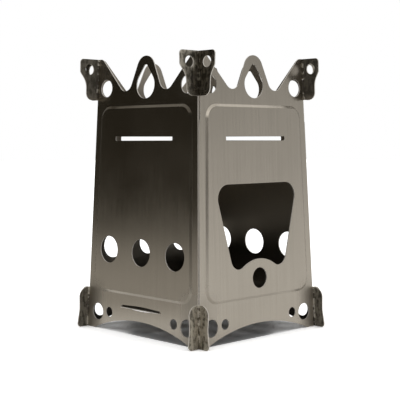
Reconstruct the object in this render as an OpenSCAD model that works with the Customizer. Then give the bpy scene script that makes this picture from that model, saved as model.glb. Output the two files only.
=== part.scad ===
// Flat-pack camping stove: four leaning sheet panels whose ears lap across each
// other at the corners, and a floor plate held in slots of the two side panels.
// The front and back panels drop over the side panels and lift off along their slope.
// Each panel is drawn flat, with u across and v up its slope, and is then stood up.

/* [Stove] */
// Height of the pot rest above the ground
stove_h = 130; // [115:1:160]
// Width between opposite outer faces at the ground
base_w = 79.3; // [76:0.1:95]
// Inward lean of each panel, in degrees
lean = 2.1; // [1:0.1:3]
// Thickness of the sheet
sheet_t = 0.5; // [0.4:0.05:0.8]

/* [Crown] */
// Radius at the tip of the middle peak
peak_tip_r = 6.2; // [5:0.1:8]
// Angle of the middle peak's sides from level, in degrees
peak_slope = 65.6; // [60:0.1:70]
// Radius at the bottom of each valley
valley_r = 4.8; // [3:0.1:5.5]
// Angle of the shoulder's edge from level, in degrees
shoulder_slope = 46; // [40:1:50]
// Distance from the corner line in to the start of the shoulder
shoulder_in = 3.2; // [2:0.1:6]
// Radius where the shoulder's edge meets the flat top
shoulder_r = 4; // [1:0.1:6]
// Radius of the round end of the drop-shaped hole
drop_r = 6.3; // [4:0.1:6.8]
// Depth of that round end's centre below the top edge
drop_depth = 13.4; // [12:0.1:16]
// Radius of the narrow end of the drop-shaped hole
drop_tip_r = 1.6; // [0.8:0.1:3]
// Length between the two ends' centres
drop_len = 7.8; // [5:0.1:8.5]
// Diameter of the hole in each upper corner
corner_hole_d = 8.4; // [5:0.1:9]
// Depth of that hole's centre below the top edge
corner_hole_depth = 14.1; // [12:0.1:16]
// Distance of that hole's centre in from the corner line
corner_hole_in = 7.1; // [6.6:0.1:9]

/* [Ears at the top] */
// Height of an ear
ear_h = 19.6; // [17:0.1:22]
// Reach of the lip of a front or back panel's ear beyond the corner line
ear_reach = 11.2; // [9:0.1:14]
// Reach of the lip of a side panel's ear beyond the corner line
side_ear_reach = 10; // [8.5:0.1:14]
// Reach of an ear's waist beyond the corner line at the top edge
ear_waist = 7.5; // [6.5:0.1:8.5]
// Length of the straight upper edge of an ear
ear_lip = 6.3; // [6:0.1:8]
// Length of the sloping stretch below that edge
ear_slant = 4.7; // [3:0.1:6]
// Radius at the top corner of an ear
ear_corner_r = 1.8; // [0.5:0.1:3]
// Radius where an ear's lip meets its slant
ear_lip_r = 1.5; // [0.5:0.1:3]
// Radius at the waist of an ear
ear_waist_r = 8; // [3:0.1:10]
// Radius at the bottom of an ear
ear_foot_r = 3.4; // [1:0.1:5]
// Diameter of the hole in an ear
ear_hole_d = 5; // [3:0.1:6]
// Depth of that hole's centre below the top edge
ear_hole_depth = 4.9; // [4.5:0.1:6]
// Distance of that hole's centre out from the corner line on a front or back panel
ear_hole_out = 5.7; // [5:0.1:6]
// Distance of that hole's centre out from the corner line on a side panel
side_ear_hole_out = 5.3; // [5:0.1:6]

/* [Ears at the feet] */
// Height of a foot's ear
foot_h = 19.2; // [17:0.1:22]
// Reach of a foot's toe beyond the corner line at the ground
foot_reach = 6.4; // [5:0.1:9]
// Reach of a foot's waist beyond the corner line at the ground
foot_waist = 5; // [4:0.1:6]
// Height of the waist of a foot
foot_waist_v = 8.6; // [7:0.1:10]
// Reach of a foot's upper edge beyond the corner line at the ground
foot_top_reach = 5.3; // [4.5:0.1:6]
// Radius at the toe of a foot
toe_r = 1.8; // [0.5:0.1:3]
// Radius at the waist of a foot
foot_waist_r = 8; // [3:0.1:20]
// Radius at the top corner of a foot's ear
foot_top_r = 4.4; // [1:0.1:5]
// Distance from the corner line in to the end of the arch
arch_in = 5.6; // [5:0.1:9]
// Rise of the arch at its middle
arch_rise = 6.8; // [4:0.1:8]
// Diameter of the larger hole above each foot
foot_hole_d = 8; // [5:0.1:9]
// Height of the larger hole's centre
foot_hole_v = 8; // [7.6:0.1:9]
// Distance of the larger hole's centre in from the corner line
foot_hole_in = 7.9; // [7:0.1:9]
// Diameter of the smaller hole beside it
small_hole_d = 4.8; // [3:0.1:5]
// Height of the smaller hole's centre
small_hole_v = 8.7; // [8.3:0.1:10]
// Distance between the larger and the smaller hole
small_hole_gap = 8.6; // [8:0.1:10]

/* [Raised field] */
// Rise of the pressed field above the panel's border
field_rise = 0.6; // [0.3:0.1:1]
// Width of the sloping step round the field
field_step = 1.2; // [0.8:0.1:2]
// Distance from the corner line in to the middle of the step
field_in = 4.75; // [4.2:0.05:6]
// Height of the lower step's middle
field_low_v = 19; // [16:0.1:22]
// Depth of the upper step's middle below the top edge
field_top_depth = 23.4; // [21:0.1:27]
// Radius of the field's corners at the middle of the step
field_r = 6; // [3:0.1:9]

/* [Slots and air holes] */
// Length of the slot for a cross bar near the top of every panel
bar_slot_len = 39.8; // [30:0.1:48]
// Height of the bar slot
bar_slot_h = 2; // [1:0.1:3]
// Depth of the bar slot's middle below the top edge
bar_slot_depth = 38.2; // [34:0.1:44]
// Radius at the ends of the bar slots and floor slots
slot_end_r = 0.4; // [0.2:0.1:0.5]
// Diameter of an air hole
air_hole_d = 12.8; // [8:0.1:16]
// Distance between air holes
air_hole_gap = 23.2; // [18:0.1:23.6]
// Height of the air holes' centres
air_hole_v = 38.9; // [36:0.1:44]

/* [Fuel port] */
// Height of the port's upper edge
port_top_v = 71.3; // [66:0.1:80]
// Half width of the port at its upper edge, before the corners are rounded
port_top_u = 28; // [25:0.1:28.5]
// Radius of the port's upper corners
port_top_r = 6.5; // [3:0.1:9]
// Half width of the port at its lower corners, before they are rounded
port_low_u = 16.7; // [14:0.1:20]
// Height of the port's lower corners, before they are rounded
port_low_v = 29.7; // [28:0.1:32]
// Radius of the lobes at the port's lower corners
port_low_r = 5.3; // [3:0.1:5.5]
// Height at the middle of the port's lower edge, before it is rounded
port_bump_v = 39.5; // [38:0.1:42]
// Radius of the bump in the lower edge
port_bump_r = 19; // [8:0.1:20]
// Diameter of the round hole below the port
port_hole_d = 9.6; // [5:0.1:10]
// Height of that hole's centre
port_hole_v = 27.6; // [25.5:0.1:28]

/* [Floor plate] */
// Height at which the floor plate rests on the ends of its slots
floor_slot_v = 12.1; // [11.5:0.1:14]
// Height of those slots at their middle
floor_slot_h = 2.4; // [1.6:0.1:3]
// Height of those slots at their ends
floor_slot_end_h = 1.2; // [1:0.1:1.5]
// Radius at the middle of their upper and lower edges
floor_slot_mid_r = 60; // [20:5:100]
// Length of those slots
floor_slot_len = 27.4; // [20:0.1:28]
// Reach of a tab past the outer face of the side panel
tab_proud = 1; // [0.2:0.1:2]
// Cut across each corner of the floor plate
floor_corner = 5; // [2:0.1:9]
// Number of vent holes along each side of the grid
vent_count = 5; // [3:1:6]
// Diameter of a vent hole
vent_d = 7; // [4:0.1:8]
// Distance between vent holes
vent_gap = 13; // [9:0.1:13.5]

/* [Fits] */
// Play on each side of a sheet in its lap slot
lap_play = 0.12; // [0.05:0.01:0.25]
// Play between the ends of two lapped slots
lap_end_play = 0.3; // [0.1:0.05:0.6]
// Lift that is left over once the laps have let go
lift_spare = 0.6; // [0.3:0.1:1.5]
// Gap below a neighbour's upper ear that the full width of a lifted panel stops at
notch_play = 0.4; // [0.1:0.05:1]
// Gap between the floor plate and the panels round it
floor_play = 0.3; // [0.1:0.05:0.5]
// Gap between a tab and each end of its slot
tab_play = 0.4; // [0.1:0.05:0.8]
// Gap between a tab and the lower edge of its slot
tab_rest = 0.05; // [0.02:0.01:0.2]

/* [Hidden] */

// Angle between the points of a rounded corner
arc_step = 6;
// Sides of a round hole
hole_fn = 64;
// Length by which a cut runs past the faces that it opens
over = 1;
// Strip at the feet and at the top that the level cuts take off
trim = 0.05;
// Thickness of the slices that the raised field is stretched between
slice = 0.01;
// Radius inside a corner between an ear and the panel's side
inner_r = 0.4;

half_base = base_w / 2;
// Sheet as measured level across a leaning panel
sheet_run = sheet_t / cos(lean);
// Slope lengths of the top edge, of an ear's lower edge and of the middles of the laps
top_v = stove_h / cos(lean);
ear_v = top_v - ear_h;
ear_lap_v = top_v - ear_h / 2;
foot_lap_v = foot_h / 2;
// Lift at which a panel's laps have all let go, and its drift over that lift
lift_travel = max(ear_h, foot_h) / 2 + lift_spare;
lift_drift = lift_travel * sin(lean);
// Slope length above which a lifting panel is narrowed by that drift
notch_v = ear_v - lift_travel - notch_play;
// Peak and valley corners of the crown, before they are rounded
peak_v = top_v - peak_tip_r + peak_tip_r / cos(peak_slope);
shoulder_u = corner_u(top_v) - shoulder_in;
valley_u = (peak_v - top_v + tan(shoulder_slope) * shoulder_u)
    / (tan(peak_slope) + tan(shoulder_slope));
valley_v = peak_v - tan(peak_slope) * valley_u;
// Radius of the circle that cuts the arch between the feet
arch_half = half_base - arch_in;
arch_r = (arch_half * arch_half + arch_rise * arch_rise) / (2 * arch_rise);
// Shift of the step's inner face that keeps the sheet as thick there as elsewhere
step_shift = sheet_t * tan(atan(field_rise / field_step) / 2);
// Height of the underside of the floor plate
floor_z = floor_slot_v * cos(lean) + tab_rest;
titanium = "#9d978a";

// Distance from a panel's middle to its neighbour's outer face, at slope length v
function corner_u(v) = half_base - v * sin(lean);
// The same at height z above the ground
function wall_out(z) = half_base - z * tan(lean);
// Inward play of the laps: a panel that lifts needs room for its drift as well
function inner_play(lifts) = lap_play + (lifts ? lift_drift : 0);
// Inner wall of a lap slot, and a panel's side edge where a neighbour's ear passes it
function edge_u(v, lifts) = corner_u(v) - sheet_run - inner_play(lifts);

function corner_point(c) = [c[0], c[1]];
function unit(a) = a / norm(a);
function short_turn(a) = a > 180 ? a - 360 : a < -180 ? a + 360 : a;
function arc(c, r, a0, turn) =
    let (steps = max(1, ceil(abs(turn) / arc_step)))
    [for (i = [0 : steps]) c + r * [cos(a0 + turn * i / steps), sin(a0 + turn * i / steps)]];
// Arc of radius r inside the corner p between the directions da and db
function corner_arc(p, r, da, db) =
    let (
        half = acos(da * db) / 2,
        c = p + unit(da + db) * r / sin(half),
        from = p + da * r / tan(half) - c,
        to = p + db * r / tan(half) - c,
        a0 = atan2(from[1], from[0])
    )
    arc(c, r, a0, short_turn(atan2(to[1], to[0]) - a0));
// Outline through the corners [u, v, radius], each rounded by its radius
function rounded(corners) =
    let (n = len(corners))
    [for (i = [0 : n - 1])
        let (
            p = corner_point(corners[i]),
            da = unit(corner_point(corners[(i + n - 1) % n]) - p),
            db = unit(corner_point(corners[(i + 1) % n]) - p)
        )
        each corners[i][2] > 0 ? corner_arc(p, corners[i][2], da, db) : [p]];
// The same corners on the other side of the middle line, in reverse order
function mirrored(corners) =
    [for (i = [len(corners) - 1 : -1 : 0]) [-corners[i][0], corners[i][1], corners[i][2]]];

module both_sides() {
    children();
    mirror([1, 0, 0]) children();
}

module panel_outline(lifts) {
    ear_out = corner_u(top_v) + (lifts ? ear_reach : side_ear_reach);
    ear_in = corner_u(top_v) + ear_waist;
    side = [
        [half_base + foot_reach, -trim, toe_r],
        [half_base + foot_waist, foot_waist_v, foot_waist_r],
        [half_base + foot_top_reach, foot_h, foot_top_r],
        [edge_u(foot_h, false), foot_h, inner_r],
        each lifts ? [
            [edge_u(notch_v, false), notch_v, 0],
            [edge_u(notch_v, lifts), notch_v + lift_drift, 0]
        ] : [],
        [edge_u(ear_v, lifts), ear_v, inner_r],
        [ear_in, ear_v, ear_foot_r],
        [ear_in, top_v - ear_lip - ear_slant, ear_waist_r],
        [ear_out, top_v - ear_lip, ear_lip_r],
        [ear_out, top_v + trim, ear_corner_r],
        [shoulder_u, top_v + trim, shoulder_r],
        [valley_u, valley_v, valley_r]
    ];
    polygon(rounded(concat(side, [[0, peak_v, peak_tip_r]], mirrored(side))));
}

module arch() {
    translate([0, arch_rise - arch_r]) circle(r = arch_r, $fn = 180);
}

// Slots that the neighbours' sheets lap into, between slope lengths v0 and v1
module lap_slots(v0, v1, lifts) {
    both_sides()
        polygon([
            [edge_u(v0, lifts), v0],
            [corner_u(v0) + lap_play, v0],
            [corner_u(v1) + lap_play, v1],
            [edge_u(v1, lifts), v1]
        ]);
}

module slot(length, height) {
    polygon(rounded([
        [length / 2, -height / 2, slot_end_r],
        [length / 2, height / 2, slot_end_r],
        [-length / 2, height / 2, slot_end_r],
        [-length / 2, -height / 2, slot_end_r]
    ]));
}

// Hole of two unequal round ends, joined by the lines that touch both
module drop_hole() {
    side_a = asin((drop_r - drop_tip_r) / drop_len);
    touch = [cos(side_a), sin(side_a)];
    tip = [0, drop_len];
    translate([0, top_v - drop_depth]) {
        circle(r = drop_r, $fn = hole_fn);
        translate(tip) circle(r = drop_tip_r, $fn = hole_fn);
        both_sides()
            polygon([[0, 0], touch * drop_r, touch * drop_tip_r + tip, tip]);
    }
}

module fuel_port() {
    side = [
        [port_low_u, port_low_v, port_low_r],
        [port_top_u, port_top_v, port_top_r]
    ];
    polygon(rounded(concat([[0, port_bump_v, port_bump_r]], side, mirrored(side))));
    translate([0, port_hole_v]) circle(d = port_hole_d, $fn = hole_fn);
}

module air_holes() {
    for (i = [-1 : 1])
        translate([i * air_hole_gap, air_hole_v]) circle(d = air_hole_d, $fn = hole_fn);
}

// Slot with bowed edges: a tab rests on its lower edge at the two ends
module floor_slot() {
    side = [
        [floor_slot_len / 2, -floor_slot_end_h / 2, slot_end_r],
        [floor_slot_len / 2, floor_slot_end_h / 2, slot_end_r]
    ];
    translate([0, floor_slot_v + floor_slot_end_h / 2])
        polygon(rounded(concat(
            [[0, -floor_slot_h / 2, floor_slot_mid_r]],
            side,
            [[0, floor_slot_h / 2, floor_slot_mid_r]],
            mirrored(side)
        )));
}

// Holes that all four panels have
module common_holes(lifts) {
    corner_hole_v = top_v - corner_hole_depth;
    foot_hole_u = corner_u(foot_hole_v) - foot_hole_in;
    arch();
    drop_hole();
    translate([0, top_v - bar_slot_depth]) slot(bar_slot_len, bar_slot_h);
    both_sides() {
        translate([corner_u(corner_hole_v) - corner_hole_in, corner_hole_v])
            circle(d = corner_hole_d, $fn = hole_fn);
        translate([
            corner_u(top_v) + (lifts ? ear_hole_out : side_ear_hole_out),
            top_v - ear_hole_depth
        ])
            circle(d = ear_hole_d, $fn = hole_fn);
        translate([foot_hole_u, foot_hole_v]) circle(d = foot_hole_d, $fn = hole_fn);
        translate([foot_hole_u - small_hole_gap, small_hole_v])
            circle(d = small_hole_d, $fn = hole_fn);
    }
}

// Outline of the pressed field, moved in by a distance from the middle of the step
module field_outline(in) {
    low_v = field_low_v + in;
    high_v = top_v - field_top_depth - in;
    r = field_r - in;
    side = [
        [corner_u(low_v) - field_in - in, low_v, r],
        [corner_u(high_v) - field_in - in, high_v, r]
    ];
    polygon(rounded(concat(side, mirrored(side))));
}

// Solid with sloping sides from the field's foot at height z up to its flat
module field_block(z, shift) {
    hull() {
        translate([0, 0, z]) linear_extrude(slice) field_outline(shift - field_step / 2);
        translate([0, 0, z + field_rise - slice])
            linear_extrude(slice) field_outline(shift + field_step / 2);
    }
}

module punch() {
    translate([0, 0, -sheet_t - over])
        linear_extrude(sheet_t + field_rise + 2 * over) children();
}

// A panel lying flat, its outer face at height 0 and its raised field above that.
// One that lifts has its lap slots open at the bottom, and a standing one at the top.
module flat_panel(lifts) {
    difference() {
        union() {
            translate([0, 0, -sheet_t]) linear_extrude(sheet_t) panel_outline(lifts);
            field_block(0, 0);
        }
        translate([0, 0, -sheet_t]) {
            translate([0, 0, -over]) linear_extrude(over + slice)
                field_outline(step_shift - field_step / 2);
            field_block(0, step_shift);
        }
        punch() {
            common_holes(lifts);
            if (lifts) {
                lap_slots(ear_v - over, ear_lap_v + lap_end_play / 2, lifts);
                lap_slots(-over, foot_lap_v + lap_end_play / 2, lifts);
            } else {
                lap_slots(ear_lap_v - lap_end_play / 2, top_v + over, lifts);
                lap_slots(foot_lap_v - lap_end_play / 2, foot_h + over, lifts);
            }
            children();
        }
    }
}

// Stands a flat panel up on its side of the stove and cuts its feet and top level
module stand(turn) {
    intersection() {
        rotate([0, 0, turn])
            translate([0, -half_base, 0])
                rotate([90 - lean, 0, 0])
                    children();
        translate([-base_w, -base_w, 0]) cube([2 * base_w, 2 * base_w, stove_h]);
    }
}

module front_panel() {
    color(titanium)
        stand(0) flat_panel(true) fuel_port();
}

module back_panel() {
    color(titanium)
        stand(180) flat_panel(true) air_holes();
}

module side_panel(turn) {
    color(titanium)
        stand(turn) flat_panel(false) {
            air_holes();
            floor_slot();
        }
}

module left_panel() {
    side_panel(-90);
}

module right_panel() {
    side_panel(90);
}

module floor_outline() {
    half = wall_out(floor_z + sheet_t) - sheet_run - floor_play;
    tab_half = floor_slot_len / 2 - tab_play;
    tab_end = wall_out(floor_z) + tab_proud;
    polygon([
        for (turn = [0 : 90 : 270], side = [-1, 1])
            let (a = half, b = side * (half - floor_corner))
            [a * cos(turn) - b * sin(turn), a * sin(turn) + b * cos(turn)]
    ]);
    translate([-tab_end, -tab_half]) square([2 * tab_end, 2 * tab_half]);
}

module vents() {
    mid = (vent_count - 1) / 2;
    for (i = [0 : vent_count - 1], j = [0 : vent_count - 1])
        translate([(i - mid) * vent_gap, (j - mid) * vent_gap])
            circle(d = vent_d, $fn = hole_fn);
}

module floor_plate() {
    color(titanium)
        translate([0, 0, floor_z])
            linear_extrude(sheet_t)
                difference() {
                    floor_outline();
                    vents();
                }
}

front_panel();
back_panel();
left_panel();
right_panel();
floor_plate();
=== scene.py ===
"""Looks of the flat-pack camping stove: bare titanium sheet in a plain studio."""
import math

import bpy
from mathutils import Matrix, Vector

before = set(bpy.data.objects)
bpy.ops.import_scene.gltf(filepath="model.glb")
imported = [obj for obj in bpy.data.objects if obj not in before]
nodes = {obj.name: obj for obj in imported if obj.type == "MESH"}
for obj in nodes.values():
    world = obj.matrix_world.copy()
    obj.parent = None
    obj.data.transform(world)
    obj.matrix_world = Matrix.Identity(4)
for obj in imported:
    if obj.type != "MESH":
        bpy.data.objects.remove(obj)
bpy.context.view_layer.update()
scene = bpy.context.scene


def grey(level, warmth=0.0):
    return (level * (1 + warmth), level, level * (1 - 2 * warmth), 1)


# Lengths are in metres. A pair of numbers says where a change starts and where it ends.

# The panels as built: lean, half width at the ground, and heights up the slope of their
# middle, of the middle of the pressed field and of the foot of the crown
LEAN = math.radians(2.1)
HALF_BASE = 0.03965
MID_HEIGHT = 0.065
FIELD_MID = 0.0636
CROWN_FOOT = 0.108

# Noise: waves per metre across the sheet and up its slope, detail and roughness
GRAIN = (2600.0, 60.0, 3.0, 0.6)
STREAK = (900.0, 7.0, 3.0, 0.6)
DRAWN = (700.0, 200.0, 3.0, 0.6)
# Noise that is alike in every direction: waves per metre, detail and roughness
CLOUD = (45.0, 3.0, 0.5)
RUB = (620.0, 3.0, 0.65)
# Noise for the painted glints along the corner line
GLINT_NOISE = (480.0, 2.0, 0.5)

# Plain sheet
SHEET_DARK = (0.422, 0.381, 0.319, 1)
SHEET_LIGHT = (0.464, 0.419, 0.352, 1)
STREAK_SHARE = 0.65
TONE_SPAN = (0.35, 0.65)
GRAIN_SHARE = 0.5
ROUGH_SPAN = (0.3, 0.7)
SHEET_ROUGH = (0.15, 0.21)
BUMP_STRENGTH = 0.10
BUMP_DISTANCE = 0.00003

# Fire side: duller, and painted shade below the crown, darkest at the foot
INSIDE_FACING = (-0.8, -0.6)
INSIDE_ROUGH = 0.16
INSIDE_SHADE_FADE = 0.012
INSIDE_SHADE_HEIGHTS = (0.030, 0.068)
INSIDE_SHADE_COLOUR = (0.330, 0.295, 0.242, 1)
INSIDE_SHADE_FOOT = (0.150, 0.134, 0.110, 1)

# Laps: heights from a panel's middle, and places from the corner line
ENDS = (0.0400, 0.0480)
FOOT_HALF = 0.02
DULL_PLACE = (-0.0150, -0.0050)
DULL_EARS = 0.35
WORN_PLACE = (-0.0020, 0.0005)
RUBBED_DARK = (0.14, 0.126, 0.101, 1)
RUBBED_LIGHT = (0.46, 0.42, 0.347, 1)
# Painted shade on the inside faces of the laps
LAP_SHADE_COLOUR = (0.09, 0.08, 0.064, 1)
RUBBED_ROUGH = 0.28
RUBBED_BUMP = 6.0
RUB_SHARE = 0.4
RUB_SPAN = (0.41, 0.58)
FOOT_RUB = 0.02
# Painted light: the feet's rubbed tone is made lighter, more for a sheet with a higher laps
# number
FOOT_GAIN = (0.90, 0.25)
# Painted shade: its share on the laps' inside faces at the ears and at the feet
LAP_SHADE = (0.70, 0.45)
# Painted shade along the corner line where the sheets cross
CREASE_SHADE_COLOUR = (0.13, 0.115, 0.092, 1)
CREASE_SHADE_REACH = (0.0003, 0.0008)
CREASE_SHADE_SHARE = 0.5
# Painted glints along the corner line: colour, reach from it, noise span, and more at the feet
GLINT_COLOUR = (0.80, 0.76, 0.68, 1)
GLINT_REACH = (0.0004, 0.0012)
GLINT_SPAN = (0.52, 0.60)
FOOT_GLINTS = 0.05

# Corners of the pressed field: heights from its middle, and places from the corner line
BEND_HEIGHTS = (0.0370, 0.0400)
BEND_PLACE = (-0.0140, -0.0090)
BEND_FACING = (0.94, 0.995)
BEND_ROUGH = 0.26

# Sheared edges: duller, and brighter, partly as bare sheared metal and partly as painted
# highlight
EDGE_FACING = (0.55, 0.80)
EDGE_TONE_AND_HIGHLIGHT = (0.64, 0.60, 0.54, 1)
EDGE_ROUGH = 0.50
EDGE_METAL = 0.50
EDGE_BREAK = 0.00015
EDGE_ANGLE = math.radians(50)
EDGE_SEGMENTS = 2
FLAT_ANGLE = math.radians(0.2)
WELD_REACH = 1e-6

# The studio that the metal mirrors: directions are parts of a unit vector, +x to its pale
# side, and each pair of tones goes from its dark to its pale side
WALL_SIDE = (-0.45, 0.62)
WALL_FOOT = (grey(0.026, 0.15), grey(0.64))
WALL_HEAD = (grey(0.016, 0.15), grey(0.36))
WALL_RISE = (0.0, 0.22)
TOP_SIDE = (-0.6, 0.7)
TOP = (grey(0.13, 0.08), grey(1.05))
TOP_RISE = (0.3, 0.6)
ZENITH = grey(0.22)
ZENITH_RISE = (0.7, 0.95)
PANEL_LAMP_WAY = (0.10, -0.86, 0.50)
PANEL_LAMP_EDGE = (0.86, 0.97)
PANEL_LAMP_SHARE = 0.8
PANEL_LAMP = grey(1.6)
# The light of the room, from low to high, and the white that the camera sees
SOFT = (grey(0.35), grey(1.1))
SOFT_RISE = (0.0, 0.7)
WHITE = grey(1.0)

# Lamp above the stove
LAMP_SIZE = 0.8
LAMP_ENERGY = 0.8
LAMP_HEIGHT = 1.0

# Paper floor, a little below the feet
FLOOR_HALF = 3.0
FLOOR_DROP = 0.0001
# As the metal mirrors it, painted light and shade: tones from the dark to the pale side, and
# distances from the stove; pale close to it, dark under it
FLOOR_WAY = (0.7, -0.7, 0)
FLOOR_SIDE = (-0.8, 0.6)
FLOOR_NEAR = (grey(0.43, 0.03), grey(0.80))
FLOOR_FAR = (grey(0.03, 0.15), grey(0.75))
FLOOR_SPREAD = (0.25, 1.6)
FLOOR_CLOSE = grey(0.90)
CLOSE_SPREAD = (0.06, 0.16)
FLOOR_UNDER = grey(0.08)
FLOOR_EDGE = (0.0385, 0.0400)
# As the camera sees it: painted shade under the stove, less at two of its corners, white
# around it
SHADE = (grey(0.66), grey(0.38))
SHADE_SPREAD = (0.022, 0.036)
SHADE_END = grey(1.10)
END_SPREAD = (0.029, 0.038)
FLOOR_WHITE = grey(1.50)

# Camera fitted to the photograph
CAM_PLACE = Vector((-0.3370, -0.3481, 0.0919))
CAM_AZIMUTH = math.radians(-44.03)
CAM_HEIGHT = math.radians(3.55)
CAM_ROLL = math.radians(-0.10)
CAM_LENS = 89.39
CAM_NEAR = 0.01
SENSOR = 36.0


class Nodes:
    """A node tree with short calls for adding and joining nodes."""

    def __init__(self, owner):
        owner.use_nodes = True
        self.tree = owner.node_tree
        self.tree.nodes.clear()

    def add(self, kind, **settings):
        node = self.tree.nodes.new("ShaderNode" + kind)
        for name, value in settings.items():
            setattr(node, name, value)
        return node

    def feed(self, socket, value):
        if isinstance(value, bpy.types.NodeSocket):
            self.tree.links.new(value, socket)
        else:
            socket.default_value = value

    def math(self, operation, a, b=0.0):
        node = self.add("Math", operation=operation)
        self.feed(node.inputs[0], a)
        self.feed(node.inputs[1], b)
        return node.outputs[0]

    def plus(self, a, b):
        return self.math("ADD", a, b)

    def times(self, a, b):
        return self.math("MULTIPLY", a, b)

    def size(self, a):
        return self.math("ABSOLUTE", a)

    def blend(self, a, b, share):
        """Sum of a by its share and b by the rest."""
        return self.plus(self.times(a, share), self.times(b, 1 - share))

    def vector(self, operation, a, b=(0, 0, 0), result="Vector"):
        node = self.add("VectorMath", operation=operation)
        self.feed(node.inputs[0], a)
        self.feed(node.inputs[1], b)
        return node.outputs[result]

    def dot(self, a, b):
        return self.vector("DOT_PRODUCT", a, b, "Value")

    def split(self, place):
        node = self.add("SeparateXYZ")
        self.feed(node.inputs[0], place)
        return node.outputs

    def ramp(self, value, span, at_low=0.0, at_high=1.0):
        node = self.add("MapRange", interpolation_type="SMOOTHSTEP")
        for name, number in (("Value", value), ("From Min", span[0]), ("From Max", span[1]),
                             ("To Min", at_low), ("To Max", at_high)):
            self.feed(node.inputs[name], number)
        return node.outputs["Result"]

    def mix(self, share, a, b):
        node = self.add("Mix", data_type="RGBA")
        self.feed(node.inputs["Factor"], share)
        colours = [s for s in node.inputs if s.type == "RGBA"]
        self.feed(colours[0], a)
        self.feed(colours[1], b)
        return [s for s in node.outputs if s.type == "RGBA"][0]

    def noise(self, place, scale, detail, rough):
        node = self.add("TexNoise")
        self.feed(node.inputs["Vector"], place)
        self.feed(node.inputs["Scale"], scale)
        self.feed(node.inputs["Detail"], detail)
        self.feed(node.inputs["Roughness"], rough)
        return node.outputs["Fac"]

    def straight(self, rays):
        """1 for what the camera sees by itself or through glass, else 0."""
        return self.math("MAXIMUM", rays.outputs["Is Camera Ray"],
                         rays.outputs["Is Transmission Ray"])


class Sheet(Nodes):
    """Nodes of a sheet, with u across it, v up its slope and its part that faces outwards."""

    def __init__(self, material, across, normal):
        super().__init__(material)
        up = Vector(normal).cross(Vector(across))
        self.place = self.add("TexCoord").outputs["Object"]
        self.u = self.dot(self.place, across)
        self.v = self.dot(self.place, tuple(up))
        self.facing = self.dot(self.add("NewGeometry").outputs["True Normal"], normal)

    def rolled(self, per_u, per_v, detail, rough):
        """Noise with its own scale each way."""
        spread = self.add("CombineXYZ")
        self.feed(spread.inputs[0], self.times(self.u, per_u))
        self.feed(spread.inputs[1], self.times(self.v, per_v))
        return self.noise(spread.outputs[0], 1.0, detail, rough)

    def mottled(self, share, gain):
        """Rubbed sheet, dark to light by share, made lighter by gain, which is painted light.
        """
        dark, light = [tuple(gain * c for c in tone[:3]) + (1,)
                       for tone in (RUBBED_DARK, RUBBED_LIGHT)]
        return self.mix(share, dark, light)

    def wear(self, colour, rough, height, laps):
        """Adds painted shade on the fire side, and the wear, painted light, painted shade and
        painted glints of the laps, to a panel's colour, roughness and height.
        """
        # The fire side is duller, and below the crown it gets painted shade, darkest at the
        # foot
        inside = self.ramp(self.facing, INSIDE_FACING, 1.0, 0.0)
        below = self.ramp(self.v, (CROWN_FOOT - INSIDE_SHADE_FADE, CROWN_FOOT), 1.0, 0.0)
        inside_shade = self.mix(self.ramp(self.v, INSIDE_SHADE_HEIGHTS), INSIDE_SHADE_FOOT, INSIDE_SHADE_COLOUR)
        colour = self.mix(self.times(inside, below), colour, inside_shade)
        rough = self.plus(rough, self.times(inside, INSIDE_ROUGH))

        # Place past the corner line, which leans as the neighbour does
        past = self.plus(self.size(self.u), self.times(self.v, math.tan(LEAN)))
        past = self.math("SUBTRACT", past, HALF_BASE)
        level = self.size(self.math("SUBTRACT", self.v, MID_HEIGHT))
        at_ends = self.ramp(level, ENDS)
        foot_span = (MID_HEIGHT - FOOT_HALF, MID_HEIGHT + FOOT_HALF)
        at_foot = self.ramp(self.v, foot_span, 1.0, 0.0)

        # Near the laps the sheet is dull, more so at the feet
        dull = self.times(at_ends, self.ramp(past, DULL_PLACE))
        dull = self.times(dull, self.plus(DULL_EARS, self.times(at_foot, 1 - DULL_EARS)))
        rough = self.plus(rough, self.times(dull, RUBBED_ROUGH))

        # Past the corner line it is mottled and made lighter by painted light, set per sheet
        # and for the feet, and its inside faces get painted shade
        worn = self.times(at_ends, self.ramp(past, WORN_PLACE))
        rub = self.blend(self.noise(self.place, *RUB), self.rolled(*DRAWN), RUB_SHARE)
        rub = self.plus(rub, self.times(at_foot, FOOT_RUB))
        mottle = self.ramp(rub, RUB_SPAN)
        # Painted light: the rubbed tone is made lighter per sheet, and more at the feet
        foot = self.mottled(mottle, FOOT_GAIN[0] + FOOT_GAIN[1] * laps)
        patch = self.mix(at_foot, self.mottled(mottle, laps), foot)
        # Painted shade on the inside faces of the laps, less at the feet
        lap_shade = self.times(inside, self.ramp(at_foot, (0.0, 1.0), *LAP_SHADE))
        patch = self.mix(lap_shade, patch, LAP_SHADE_COLOUR)

        # The corner line gets painted shade, and painted glints in spots along it
        off = self.size(past)
        crease_shade = self.ramp(off, CREASE_SHADE_REACH, CREASE_SHADE_SHARE, 0.0)
        patch = self.mix(crease_shade, patch, CREASE_SHADE_COLOUR)
        # Painted glints in spots along the corner line
        glint = self.plus(self.noise(self.place, *GLINT_NOISE), self.times(at_foot, FOOT_GLINTS))
        glint = self.times(self.ramp(off, GLINT_REACH, 1.0, 0.0), self.ramp(glint, GLINT_SPAN))
        patch = self.mix(glint, patch, GLINT_COLOUR)
        colour = self.mix(worn, colour, patch)
        height = self.plus(height, self.times(self.times(worn, rub), RUBBED_BUMP))

        # The bend at the pressed field's corners is duller
        from_mid = self.size(self.math("SUBTRACT", self.v, FIELD_MID))
        corner = self.times(self.ramp(from_mid, BEND_HEIGHTS), self.ramp(past, BEND_PLACE))
        corner = self.times(corner, self.ramp(self.facing, BEND_FACING, 1.0, 0.0))
        rough = self.plus(rough, self.times(corner, BEND_ROUGH))
        return colour, rough, height


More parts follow.
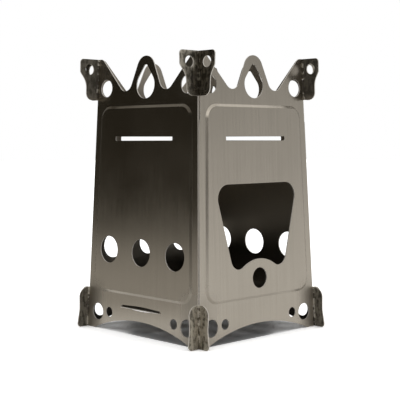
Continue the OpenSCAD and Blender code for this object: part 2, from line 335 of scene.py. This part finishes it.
def make_camera():
    back = Vector((math.sin(CAM_AZIMUTH) * math.cos(CAM_HEIGHT),
                   -math.cos(CAM_AZIMUTH) * math.cos(CAM_HEIGHT),
                   math.sin(CAM_HEIGHT)))
    data = bpy.data.cameras.new("camera")
    data.lens = CAM_LENS
    data.sensor_width = SENSOR
    data.clip_start = CAM_NEAR
    camera = bpy.data.objects.new("camera", data)
    scene.collection.objects.link(camera)
    turn = back.to_track_quat("Z", "Y").to_matrix().to_4x4()
    camera.matrix_world = (Matrix.Translation(CAM_PLACE) @ turn
                           @ Matrix.Rotation(CAM_ROLL, 4, "Z"))
    scene.camera = camera


def make_world():
    """White to the camera. The metal mirrors a studio that is dark on one side."""
    world = bpy.data.worlds.new("studio")
    scene.world = world
    t = Nodes(world)
    way = t.add("TexCoord").outputs["Generated"]
    x, _, z = t.split(way)
    side = t.ramp(x, WALL_SIDE)
    room = t.mix(t.ramp(z, WALL_RISE), t.mix(side, *WALL_FOOT), t.mix(side, *WALL_HEAD))
    room = t.mix(t.ramp(z, TOP_RISE), room, t.mix(t.ramp(x, TOP_SIDE), *TOP))
    room = t.mix(t.ramp(z, ZENITH_RISE), room, ZENITH)
    # A soft lamp stands high in front of the stove
    lamp = t.ramp(t.dot(way, PANEL_LAMP_WAY), PANEL_LAMP_EDGE, 0.0, PANEL_LAMP_SHARE)
    room = t.mix(lamp, room, PANEL_LAMP)
    rays = t.add("LightPath")
    soft = t.mix(t.ramp(z, SOFT_RISE), *SOFT)
    lit = t.mix(rays.outputs["Is Glossy Ray"], soft, room)
    back = t.add("Background")
    t.feed(back.inputs["Color"], t.mix(t.straight(rays), lit, WHITE))
    out = t.add("OutputWorld")
    t.feed(out.inputs["Surface"], back.outputs[0])


def make_floor():
    """White paper with painted shade under the stove. In the metal it is painted pale near the
    stove and on one side, dark far from it and dark under it.
    """
    mesh = bpy.data.meshes.new("floor")
    corners = [(-FLOOR_HALF, -FLOOR_HALF, 0), (FLOOR_HALF, -FLOOR_HALF, 0),
               (FLOOR_HALF, FLOOR_HALF, 0), (-FLOOR_HALF, FLOOR_HALF, 0)]
    mesh.from_pydata(corners, [], [(0, 1, 2, 3)])
    floor = bpy.data.objects.new("floor", mesh)
    scene.collection.objects.link(floor)
    floor.location.z = -FLOOR_DROP
    material = bpy.data.materials.new("floor")
    t = Nodes(material)
    place = t.add("TexCoord").outputs["Object"]
    x, y, _ = t.split(place)
    out_by = t.math("MAXIMUM", t.size(x), t.size(y))
    around = t.ramp(out_by, FLOOR_EDGE)
    far = t.vector("LENGTH", place, result="Value")
    across = t.dot(t.vector("NORMALIZE", place), FLOOR_WAY)

    # Painted light as the metal mirrors it: pale near the stove and on its pale side, dark far
    # off
    side = t.ramp(across, FLOOR_SIDE)
    in_metal = t.mix(t.ramp(far, FLOOR_SPREAD), t.mix(side, *FLOOR_NEAR),
                     t.mix(side, *FLOOR_FAR))
    in_metal = t.mix(t.ramp(far, CLOSE_SPREAD), FLOOR_CLOSE, in_metal)
    # Painted shade under the stove, as the metal mirrors it
    in_metal = t.mix(around, FLOOR_UNDER, in_metal)

    # Painted shade under the stove, as the camera sees it
    seen = t.mix(t.ramp(out_by, SHADE_SPREAD), *SHADE)
    seen = t.mix(t.ramp(t.times(t.size(across), far), END_SPREAD), seen, SHADE_END)
    seen = t.mix(around, seen, FLOOR_WHITE)

    diffuse = t.add("BsdfDiffuse")
    t.feed(diffuse.inputs["Color"], t.mix(t.straight(t.add("LightPath")), in_metal, seen))
    out = t.add("OutputMaterial")
    t.feed(out.inputs["Surface"], diffuse.outputs[0])
    mesh.materials.append(material)


def make_lamp():
    data = bpy.data.lights.new("overhead", "AREA")
    data.shape = "SQUARE"
    data.size = LAMP_SIZE
    data.energy = LAMP_ENERGY
    lamp = bpy.data.objects.new("overhead", data)
    lamp.location = (0, 0, LAMP_HEIGHT)
    scene.collection.objects.link(lamp)


def titanium(name, across, normal, laps=1.0):
    """Bare rolled sheet. across runs over the sheet's width, normal out of its face.

    laps scales the painted light on the rubbed laps and feet, set per sheet, and 0 says that
    it has none.
    """
    material = bpy.data.materials.new(name)
    t = Sheet(material, across, normal)
    grain = t.rolled(*GRAIN)
    cloud = t.noise(t.place, *CLOUD)
    tone = t.blend(t.rolled(*STREAK), cloud, STREAK_SHARE)
    colour = t.mix(t.ramp(tone, TONE_SPAN), SHEET_DARK, SHEET_LIGHT)
    rough = t.ramp(t.blend(grain, cloud, GRAIN_SHARE), ROUGH_SPAN, *SHEET_ROUGH)
    height = grain
    if laps:
        colour, rough, height = t.wear(colour, rough, height, laps)

    # Sheared edges are duller, and brighter, partly as bare sheared metal and partly as
    # painted highlight
    edge = t.ramp(t.size(t.facing), EDGE_FACING, 1.0, 0.0)
    colour = t.mix(edge, colour, EDGE_TONE_AND_HIGHLIGHT)
    rough = t.math("MAXIMUM", rough, t.times(edge, EDGE_ROUGH))
    bump = t.add("Bump")
    t.feed(bump.inputs["Strength"], BUMP_STRENGTH)
    t.feed(bump.inputs["Distance"], BUMP_DISTANCE)
    t.feed(bump.inputs["Height"], height)
    shader = t.add("BsdfPrincipled")
    t.feed(shader.inputs["Base Color"], colour)
    t.feed(shader.inputs["Metallic"], t.ramp(edge, (0.0, 1.0), 1.0, EDGE_METAL))
    t.feed(shader.inputs["Roughness"], rough)
    t.feed(shader.inputs["Normal"], bump.outputs[0])
    out = t.add("OutputMaterial")
    t.feed(out.inputs["Surface"], shader.outputs[0])
    return material


def break_edges(piece):
    """Takes the sharpness off the cut edges, as tumbling does."""
    weld = piece.modifiers.new("weld", "WELD")
    weld.merge_threshold = WELD_REACH
    flat = piece.modifiers.new("flat", "DECIMATE")
    flat.decimate_type = "DISSOLVE"
    flat.angle_limit = FLAT_ANGLE
    bevel = piece.modifiers.new("edges", "BEVEL")
    bevel.width = EDGE_BREAK
    bevel.segments = EDGE_SEGMENTS
    bevel.limit_method = "ANGLE"
    bevel.angle_limit = EDGE_ANGLE
    bevel.harden_normals = True


def dress(node, material):
    piece = nodes[node]
    piece.data.materials.clear()
    piece.data.materials.append(material)
    break_edges(piece)


make_camera()
make_world()
make_floor()
make_lamp()

level, rise = math.cos(LEAN), math.sin(LEAN)
dress("front_panel", titanium("front_sheet", (1, 0, 0), (0, -level, rise), laps=1.3))
dress("back_panel", titanium("back_sheet", (-1, 0, 0), (0, level, rise)))
dress("left_panel", titanium("left_sheet", (0, -1, 0), (-level, 0, rise)))
dress("right_panel", titanium("right_sheet", (0, 1, 0), (level, 0, rise)))
dress("floor_plate", titanium("floor_sheet", (1, 0, 0), (0, 0, 1), laps=0.0))

scene.view_settings.view_transform = "Standard"
